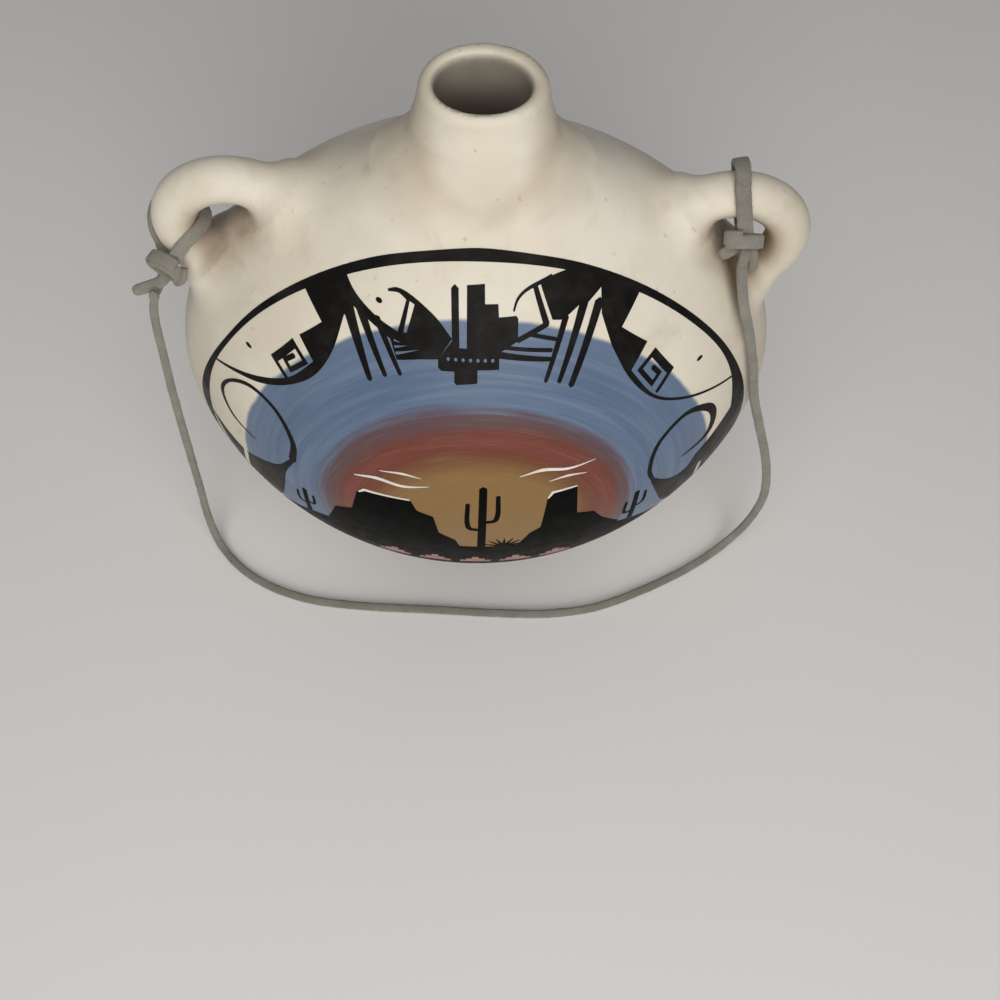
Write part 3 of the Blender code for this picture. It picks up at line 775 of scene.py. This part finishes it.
def left_border():
    wedge = [(-45, 63), (-43.6, 62.9), (-39.3, 58.4), (-45.4, 53.3), (-42.2, 49.4)]
    wedge += curve((-42, 49.2), (-49.2, 41.8), (-57, 36.8), (-65.5, 32.2), (-72.3, 28.6))
    wedge += curve(
        (-72.3, 28.2), (-65, 31.5), (-57, 35.1), (-48.8, 40.2), (-42, 46), (-37, 53.3), (-33.6, 61.6))
    wedge += [(-31.4, 64.2), (-27, 62.5), (-22, 60.4)]
    wedge += curve((-20.2, 62.1), (-25.7, 63.9), (-31, 66.9), (-33.5, 70)) + [(-39.3, 66)]
    wing = [(-22.2, 60.8), (-20.5, 56.5), (-15, 57.6), (-10.3, 58.2)]
    wing += curve((-6.9, 62.5), (-10.9, 66.1), (-17.2, 69.2), (-20.3, 69.7), (-22.5, 69.1))
    wing += curve((-22.4, 68.7), (-19.8, 68.9), (-18, 68.1)) + [(-20.2, 62.1)]
    base = curve((-77, 1.5), (-72.3, -1.3), (-67.6, -2.8)) + curve((-63.7, 0.2), (-56.2, 6.3), (-51.9, 13.2))
    base += curve((-49.9, 14.6), (-53.8, 5.2), (-55.5, -4.8), (-59, -22), (-66, -38))
    loop = brush_curve(
        ((-62.2, 11.3), (-68.5, 13.6), (-70.8, 19.8), (-67.4, 26.8), (-60.5, 31.3), (-54, 29.6), (-50, 21.7),
         (-50.9, 13.9)),
        (0.2, 0.9, 0.95, 0.7, 1.1, 1.2, 1.5, 2.1))
    feathers = bars(
        ((-32.8, 64.5), (-27.4, 50.6), 3, 1.3), ((-29.8, 65), (-23.5, 52.5), 2.2, 1.1),
        ((-25.3, 63.5), (-19.7, 53.6), 1.6, 1))
    square = key((
        (-49.7, 41.4), (-53, 44.5), (-47.3, 50.9), (-44.2, 48), (-48.4, 44.1), (-49.8, 45.7), (-47.2, 48)))
    dots = [disc((-60.1, 42.3), DOT, DOT_TALL), disc((-24.7, 66.7), DOT, DOT_TALL)]
    return [wedge, wing, base, loop] + square + feathers + dots


def right_border():
    wedge = [(29.8, 63.8), (29.4, 68.3), (26.2, 66.5), (24.1, 66.6), (20.1, 64.7), (17.5, 65.1)]
    wedge += curve((14.3, 71.5), (17, 72.4), (22, 72.9)) + [(31, 70), (35.8, 67.9), (40, 65.5)]
    wedge += [(39.3, 64.4), (35.2, 59.7), (42.3, 54.3), (38.6, 49.7)]
    wedge += curve((38.6, 49.5), (45.7, 40.5), (52.9, 35.5), (63.1, 30.4), (72.5, 26.4))
    wedge += curve((72.5, 25.8), (64.6, 29.1), (54.3, 34), (45.8, 39.5), (38.5, 47.6), (32.9, 56.8))
    base = curve((50, 8), (54, 3.1), (57.7, 0.4), (61.1, 0.6)) + curve((62.9, 5.3), (68.2, 9.7), (72.5, 14))
    base += [(76.3, 8), (75, -14), (67, -38)] + curve((60, -24), (55.4, -14), (52.5, -3.9), (49.3, 6.5))
    loop = brush_curve(
        ((57.7, 10.5), (64.9, 12.2), (66, 18.5), (63.3, 24.3), (56, 28.2), (49.3, 23.8), (47.8, 13.7),
         (49.8, 7)),
        (0.2, 1.8, 1.8, 2, 1.3, 1.3, 1.2, 1.2))
    feathers = bars(
        ((20.8, 65.2), (16.4, 53), 1.6, 1), ((25.3, 67), (19.8, 52.3), 2.2, 1.1),
        ((29, 66), (22.9, 50.9), 2.2, 1.5))
    arc = brush_curve(((8, 67.6), (8.8, 69.4), (10.8, 70.8), (17, 72.3)), (0.5, 0.6, 0.6, 0.8))
    pole = [(12.5, 71.1), (13.6, 71.4), (16.7, 64.9), (15.3, 64.5)]
    rays = bars(
        ((9.1, 62.2), (16.4, 64.6), 1.1, 1.1), ((12.1, 63.1), (18.5, 61.4), 0.8, 0.8),
        ((4.5, 61.2), (17.6, 59.4), 0.8, 0.8), ((4.5, 59.6), (17.4, 57.6), 1.4, 0.9))
    square = key((
        (46.3, 41), (49.8, 44.7), (44.6, 51.3), (40.9, 48.8), (44.7, 43.8), (46.4, 45.5), (44.4, 47.9)))
    return [wedge, base, loop, arc, pole, disc((58.1, 42.1), DOT, DOT_TALL)] + square + feathers + rays


def terrace():
    """Stepped block under the neck with an upright bar beside it."""
    steps = [
        (-3.4, 71.9), (0.9, 72.2), (1, 68.9), (4.2, 68.9), (4.4, 66.6), (8.6, 66.7), (9.1, 66.2), (9.2, 62.1),
        (4.7, 60), (4.7, 56.6), (-0.6, 56.5), (-0.6, 53.6), (-5.8, 53.1), (-6.3, 53.6), (-6.3, 56),
        (-9.5, 55.9), (-10.3, 56.5), (-10.3, 58.2), (-7, 62), (-5, 60.8), (-3.3, 60.8)]
    return [steps] + bars(((-6.3, 71.3), (-6, 61), 1.8, 1.8))


def border_gaps():
    """Places left bare inside the black of the border."""
    slit = [(-17.2, 68), (-16, 67.6), (-18, 62.3), (-18.8, 62.2)]
    slivers = [
        [(-21.3, 60.6), (-21.1, 60.1), (-19.2, 60.1)],
        [(-21.2, 59.3), (-20.9, 58.8), (-17.6, 59.9)],
        [(-20.9, 58.1), (-20.6, 57.5), (-14.6, 59.6)]]
    breaks = [
        [(-67.9, -2), (-66.5, -2.6), (-68.9, -22), (-70.4, -21.6)],
        [(65.2, -4), (66.6, -4), (67.8, -20), (66.2, -20)]]
    notch = [(17.9, 64.9), (18.9, 64.6), (19.2, 63.9), (18.3, 63.7)]
    dots = [disc((u, 58.5), PINPRICK, count=8) for u in np.linspace(-7.8, 3.1, 7)]
    return [slit, notch] + slivers + breaks + dots


def saguaro(foot, height, width):
    """Tall cactus with an arm on each side, as brush lines."""
    u, v = foot
    trunk = stroke(((u, v), (u, v + height)), (width, width * 0.9))
    arms = []
    for side, low, high in SAGUARO_ARMS:
        reach = side * width * 1.7
        arms.append(brush_curve(
            ((u, v + low * height - width * 0.3), (u + reach * 0.8, v + low * height),
             (u + reach, v + low * height + width), (u + reach, v + high * height)),
            (width * 0.5, width * 0.6, width * 0.6, width * 0.5)))
    return [trunk] + arms


def agave(foot, size):
    """Clump of pointed leaves."""
    u, v = foot
    return [
        stroke(((u, v), (u + size * math.sin(t), v + size * math.cos(t))), (size * 0.22, size * 0.04))
        for t in np.radians(AGAVE_LEAVES)]


def skyline():
    """Mesas, cactus and agave in black against the warm rings, over a dark ground."""
    mesa = [
        (-43, -11), (-40, 0), (-35, 3), (-33, 13), (-31, 14.5), (-18, 15), (-16.5, 11), (-12, 9), (-10.5, 0),
        (-6, -4), (-4, -11)]
    butte = [
        (11, -11), (15, -1), (18, 2), (19, 16), (20.5, 18.5), (27, 19), (28, 6), (33, 4), (36, -2), (42, -11)]
    ground = curve(
        (-58, -24), (-47, -14), (-36, -9.5), (-18, -8.5), (4, -9), (24, -8.5), (40, -11), (54, -22))
    ground += curve((60, -34), (46, -56), (20, -70), (-20, -70), (-46, -56), (-62, -36))
    plants = saguaro((1.5, -10), 33, 2.4) + saguaro((-49, -16), 17, 1.4) + saguaro((45.5, -15), 20, 1.6)
    plants += agave((8, -9), 6) + agave((-21, -9), 5) + agave((34, -10), 5.5) + agave((-38, -11), 5)
    return [mesa, butte, ground] + plants


def ground_steps():
    """Row of stepped blocks on the dark ground."""
    right = [(4.6, -27), (4.6, -24.6), (2.8, -24.6), (2.8, -22.2), (1, -22.2), (1, -19.8)]
    block = right + [(-u, v) for u, v in reversed(right)]
    return [[(u + middle, v) for u, v in block] for middle in (-24, -12, 0, 12, 24)]


def white_lines():
    """Thin clouds, and light along the tops of the mesas."""
    return [
        brush_curve(((-33, 20.5), (-27, 21.8), (-20, 21), (-13, 22.5)), (0.2, 1, 0.8, 0.1)),
        brush_curve(((-26, 25), (-20, 25.8), (-15, 25.2)), (0.1, 0.7, 0.1)),
        brush_curve(((11, 27), (17, 28.4), (24, 27.2), (31, 28)), (0.1, 1, 0.7, 0.1)),
        brush_curve(((19, 23.8), (24, 24.6), (29, 24)), (0.1, 0.7, 0.1)),
        stroke(((-32.2, 13.6), (-30.8, 15.1), (-18.4, 15.6)), (0.4, 0.8, 0.4)),
        stroke(((19.2, 16.8), (20.3, 19), (26.8, 19.6)), (0.4, 0.8, 0.4))]


def on_face(spots):
    """Places on the front of the clay behind spots of the face, and the way the clay faces there."""
    points = np.stack([spots[:, 0], np.full(len(spots), -BOWL_DEPTH), CENTRE + spots[:, 1]], 1)
    for _ in range(FACE_ROUNDS):
        slope = clay_slope(points)
        points[:, 1] -= clay_field(points) / np.minimum(slope[:, 1], FACE_SLOPE)
    return points, unit(slope)


def filled(outline):
    """The outline with points added wherever two of its points lie further apart than FILL."""
    dense = []
    for a, b in zip(outline, outline[1:] + outline[:1]):
        count = math.ceil(math.dist(a, b) / FILL)
        dense += [(a[0] + (b[0] - a[0]) * i / count, a[1] + (b[1] - a[1]) * i / count) for i in range(count)]
    return dense


def covers(outline, spots):
    """Whether each spot lies inside an outline, which may cross itself."""
    start = np.array(outline)
    end = np.roll(start, -1, axis=0)
    u, v = spots[:, :1], spots[:, 1:]
    from_below = start[:, 1] <= v
    to_below = end[:, 1] <= v
    rise = np.where(from_below != to_below, end[:, 1] - start[:, 1], 1.0)
    crossing = start[:, 0] + (v - start[:, 1]) * (end[:, 0] - start[:, 0]) / rise
    turns = np.where(u < crossing, from_below.astype(int) - to_below, 0)
    return turns.sum(axis=1) != 0


def make_painted(name, shapes, gaps, material, lift=LIFT):
    """Thin patch of slip on the front of the clay: all the shapes together, less the gaps."""
    spots, edges = [], []
    for outline in map(filled, shapes + gaps):
        numbers = range(len(spots), len(spots) + len(outline))
        edges += zip(numbers, [*numbers[1:], numbers[0]])
        spots += outline
    low, high = np.min(spots, axis=0), np.max(spots, axis=0)
    for u in np.arange(low[0], high[0], FILL):
        spots += [(u, v) for v in np.arange(low[1], high[1], FILL)]
    found = geometry.delaunay_2d_cdt([Vector(spot) for spot in spots], edges, [], 0, MERGE, True)
    spots = np.array([tuple(spot) for spot in found[0]])
    triangles = np.array(found[2])
    middles = spots[triangles].mean(axis=1)
    painted = np.any([covers(shape, middles) for shape in shapes], axis=0)
    painted &= ~np.any([covers(gap, middles) for gap in gaps], axis=0)
    kept = triangles[painted].tolist()
    used = sorted({i for t in kept for i in t})
    number = {old: new for new, old in enumerate(used)}
    top = [tuple(number[i] for i in t) for t in kept]
    edges = {(t[i], t[(i + 1) % 3]) for t in top for i in range(3)}
    rim = [(a, b) for a, b in edges if (b, a) not in edges]
    points, normals = on_face(spots[used])
    count = len(used)
    faces = top + [tuple(i + count for i in reversed(t)) for t in top]
    faces += [(a, a + count, b + count, b) for a, b in sorted(rim)]
    patch = mesh_object(name, np.vstack([points + lift * normals, points - SINK * normals]), faces, material)
    patch.data.normals_split_custom_set_from_vertices(np.vstack([normals, -normals]).tolist())
    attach(patch, "vessel")


def make_painting():
    border = [border_ring()] + left_border() + right_border() + terrace()
    make_painted("painted_border", border, border_gaps(), BLACK)
    make_painted("painted_skyline", skyline(), [], SOOT)
    make_painted("painted_steps", ground_steps(), [], PINK, LAID_OVER)
    make_painted("painted_clouds", white_lines(), [], WHITE, LAID_OVER)


# Strips of suede


def even_path(path, spacing):
    lengths = np.concatenate([[0.0], np.cumsum(np.linalg.norm(np.diff(path, axis=0), axis=1))])
    count = max(2, round(lengths[-1] / spacing))
    wanted = np.linspace(0.0, lengths[-1], count + 1)
    return np.stack([np.interp(wanted, lengths, row) for row in path.T], 1)


def section(width, thickness):
    """Rounded rectangle, counter-clockwise, (across, through)."""
    points = []
    a, b = width / 2 - STRIP_CORNER, thickness / 2 - STRIP_CORNER
    for sx, sy, start in ((1, 1, 0), (-1, 1, 90), (-1, -1, 180), (1, -1, 270)):
        for turn in np.radians(np.linspace(start, start + 90, CORNER_POINTS)):
            points.append((sx * a + STRIP_CORNER * math.cos(turn), sy * b + STRIP_CORNER * math.sin(turn)))
    return np.array(points)


def strip_mesh(path, facing, width, thickness, seed, cut_end=False, drawn=1.0):
    """A flat strip along the path, its flat side looking along `facing`, drawn in to a share of its width."""
    rng = np.random.default_rng(seed)
    along = unit(np.gradient(path, axis=0))
    across = unit(np.cross(along, facing))
    through = np.cross(across, along)
    shape = section(width, thickness)
    ring = len(shape)
    narrow = np.ones(len(path)) * drawn
    if cut_end:
        narrow[-len(ROUND_END):] *= ROUND_END
    points = []
    for place, side, up, share in zip(path, across, through, narrow):
        wobble = 1.0 + STRIP_WOBBLE * rng.standard_normal((ring, 1))
        local = shape * wobble * (share, 1.0)
        points.append(place + local[:, :1] * side + local[:, 1:] * up)
    points = np.concatenate(points)
    faces = []
    for i in range(len(path) - 1):
        for j in range(ring):
            k = (j + 1) % ring
            faces.append((i * ring + j, (i + 1) * ring + j, (i + 1) * ring + k, i * ring + k))
    faces.append(tuple(range(ring)))
    last = (len(path) - 1) * ring
    faces.append(tuple(last + j for j in reversed(range(ring))))
    return points, faces


def join(parts):
    points, faces, start = [], [], 0
    for part_points, part_faces in parts:
        points.append(part_points)
        faces += [tuple(i + start for i in face) for face in part_faces]
        start += len(part_points)
    return np.concatenate(points), faces


def around_limb(tie, turn, reach):
    """A place beside a lug's limb: `turn` round the limb from the knot, `reach` from its middle."""
    across = tie["turn"] + turn
    out = LUG_RADIUS + reach * math.cos(across)
    if "beside" in tie:
        knot_out = LUG_RADIUS + tie["reach"] * math.cos(tie["turn"])
        along = math.acos(np.interp(out, (knot_out, LUG_RADIUS + LUG_THICKNESS / 2), tie["beside"]) / out)
    else:
        aside = ((1 + math.cos(turn)) / 2) ** tie["hook" if turn > math.pi else "outer_hook"]
        along = tie["angle"] + tie["slant"] * (1 - 2 * aside)
    hub_x, hub_z, _ = lug_middle(tie["side"])
    x = hub_x + tie["side"] * out * math.cos(along)
    return np.array([x, reach * math.sin(across), hub_z + out * math.sin(along)])


def knot_of(tie):
    return around_limb(tie, 0.0, tie["reach"])


def exit_of(tie):
    return knot_of(tie) + np.array(tie["exit"])


def suede_piece(name, parts, body, node):
    points, faces = join(parts)
    piece = mesh_object(name, points, faces, SUEDE)
    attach(piece, body)
    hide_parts(node)
    return piece


def loop_strip(tie, seed):
    """The lace round the limb, both legs running straight to the knot; slack lifts it off the clay."""
    snug = LUG_THICKNESS / 2 + STRAP_GAP + STRAP_THICKNESS / 2
    leg = math.acos(snug / tie["reach"])
    path, facing = [], []
    for turn in np.linspace(0.0, 2 * math.pi, LOOP_STEPS):
        lap = min(turn, 2 * math.pi - turn)
        reach = snug if lap > leg else snug / math.cos(leg - lap)
        away = (1 - math.cos(turn)) / 2
        reach += tie["slack"] * away * math.exp(-((turn - tie["slack_turn"]) / SLACK_SPREAD) ** 2)
        place = around_limb(tie, turn, reach)
        outward = unit(place - around_limb(tie, turn, 0.0))
        inner = max(0.0, turn / math.pi - 1)
        twist = tie["twist"] * min(1.0, INNER_TWIST * inner + max(0.0, 1 - turn / OUTER_TWIST))
        path.append(place + np.array(tie["drawn"]) * (1 - away) * (inner > 0))
        facing.append(unit(outward * (1 - twist) + unit(tie["flat"]) * twist))
    return strip_mesh(np.array(path), np.array(facing), tie["strap_width"], STRAP_THICKNESS, seed)


def wrap_strip(tie, seed):
    """A little over one turn of the lace round both legs, each turn lying over the last."""
    knot = knot_of(tie) + np.array(tie["drawn"])
    legs = around_limb(tie, 0.0, 0.0) - knot_of(tie)
    across = unit(tie["across"])
    axis = unit(legs - across * (legs @ across))
    deep = np.cross(axis, across)
    path, facing = [], []
    for turn in np.linspace(0.0, 2 * math.pi * WRAP_TURNS, WRAP_STEPS):
        lap = turn / (2 * math.pi)
        angle = turn + tie["wrap_start"]
        grown = 1.0 + WRAP_GROWTH * lap
        path.append(
            knot + across * WRAP_ACROSS * grown * math.cos(angle) + deep * WRAP_DEEP * grown * math.sin(angle)
            + axis * WRAP_PITCH * (lap - WRAP_TURNS / 2))
        facing.append(unit(
            across * math.cos(angle) / WRAP_ACROSS + deep * math.sin(angle) / WRAP_DEEP))
    return strip_mesh(np.array(path), np.array(facing), WRAP_WIDTH, STRAP_THICKNESS, seed)


def lead_strip(tie, onward, seed):
    """From inside the knot to the free lace, ending half a step inside the start of it."""
    knot = knot_of(tie)
    route = [knot + np.array(offset) for offset in tie["lead"]] + [exit_of(tie), exit_of(tie) + onward]
    path = even_path(smooth_path(route)[:-FINE // 2], STRIP_STEP)
    share = np.linspace(0.0, 1.0, len(path))[:, None]
    facing = (1 - share) * unit(tie["flat"]) + share * LACE_FACING
    return strip_mesh(path, facing, LACE_WIDTH * LEAD_SHARE, LACE_THICKNESS * LEAD_SHARE, seed)


def end_strip(tie, offsets, width, seed):
    """A cut end of the lace, lying out from the knot."""
    path = even_path(smooth_path([knot_of(tie) + np.array(offset) for offset in offsets]), STRIP_STEP)
    facing = np.tile(unit(tie["flat"]), (len(path), 1))
    return strip_mesh(path, facing, width, LACE_THICKNESS, seed, cut_end=True)


def make_tie(name, tie, onward, seed):
    suede_piece(name + "_loop_strip", [loop_strip(tie, seed)], "vessel", name + "_loop")
    knot = [wrap_strip(tie, seed + 1), lead_strip(tie, onward, seed + 2),
            end_strip(tie, tie["stub"], STUB_WIDTH, seed + 4)]
    suede_piece(name + "_knot_wrap", knot, "vessel", name + "_knot")
    tail = end_strip(tie, tie["tail"], TAIL_WIDTH, seed + 3)
    suede_piece(name + "_tail_strip", [tail], "vessel", name + "_tail")


def lace_path():
    """Free stretch of the lace from one knot to the other."""
    route = [exit_of(LEFT_TIE)] + list(LACE_ROUTE) + [exit_of(RIGHT_TIE)]
    return even_path(smooth_path(route), LACE_STEP)


def make_lace(path):
    share = np.linspace(0.0, 1.0, len(path))[:, None]
    height = np.clip((path[:, 2:] - LYING_HEIGHT) / LIFTING_HEIGHT, 0.0, 1.0)
    height = height * height * (3 - 2 * height)
    hanging = LACE_FACING + HANGING_SWAY * np.sin(share * HANGING_WAVES * math.pi)
    lying = LYING_FACING + LYING_SWAY * np.sin(share * LYING_WAVES * math.pi)
    facing = height * hanging + (1 - height) * lying
    drawn = np.interp(share[:, 0], (0.0, LACE_DRAWN_SHARE), (LACE_DRAWN, 1.0))
    strip = strip_mesh(path, facing, LACE_WIDTH, LACE_THICKNESS, LACE_SEED, drawn=drawn)
    lace = suede_piece("lace_strip", [strip], "strap", "lace")


def make_camera():
    cosine, sine = math.cos(CAMERA_TURN), math.sin(CAMERA_TURN)
    turn = np.array([[cosine, 0, -sine], [0, 1, 0], [sine, 0, cosine]])
    ahead = np.array([0.0, math.cos(CAMERA_PITCH), -math.sin(CAMERA_PITCH)])
    right = np.array([1.0, 0.0, 0.0])
    up = np.cross(right, ahead)
    level = math.cos(CAMERA_ROLL), math.sin(CAMERA_ROLL)
    right, up = level[0] * right + level[1] * up, level[0] * up - level[1] * right
    camera = scene_object("camera", bpy.data.cameras.new("camera"))
    camera.data.sensor_width = SENSOR_WIDTH
    camera.data.lens = CAMERA_LENS
    camera.data.clip_start = CLIP_START
    columns = [turn @ right, turn @ up, turn @ -ahead, np.array(CAMERA_PLACE) * MM]
    for i, column in enumerate(columns):
        for j in range(3):
            camera.matrix_world[j][i] = column[j]
    bpy.context.scene.camera = camera


def make_light(name, place, power):
    light = bpy.data.lights.new(name, 'AREA')
    light.shape = 'DISK'
    light.size = LAMP_SIZE
    light.energy = power
    light.color = LAMP_COLOUR
    lamp = scene_object(name, light)
    lamp.location = place
    lamp.rotation_euler = (Vector(LAMP_AIM) - Vector(place)).to_track_quat('-Z', 'Y').to_euler()


def make_stage():
    corners = [(x * FLOOR_REACH, y * FLOOR_REACH, 0) for x, y in ((-1, -1), (1, -1), (1, 1), (-1, 1))]
    mesh_object("floor", corners, [(0, 1, 2, 3)], floor_material())
    world = bpy.data.worlds.new("soft_room")
    bpy.context.scene.world = world
    world.use_nodes = True
    background = world.node_tree.nodes["Background"]
    background.inputs["Color"].default_value = ROOM_COLOUR
    background.inputs["Strength"].default_value = ROOM_LIGHT
    for lamp in LAMPS:
        make_light(*lamp)
    bpy.context.scene.view_settings.view_transform = 'Standard'


make_camera()
make_stage()
lace = lace_path()
make_lace(lace)
make_tie("left", LEFT_TIE, lace[1] - lace[0], LEFT_SEED)
make_tie("right", RIGHT_TIE, lace[-2] - lace[-1], RIGHT_SEED)
make_body()
make_painting()
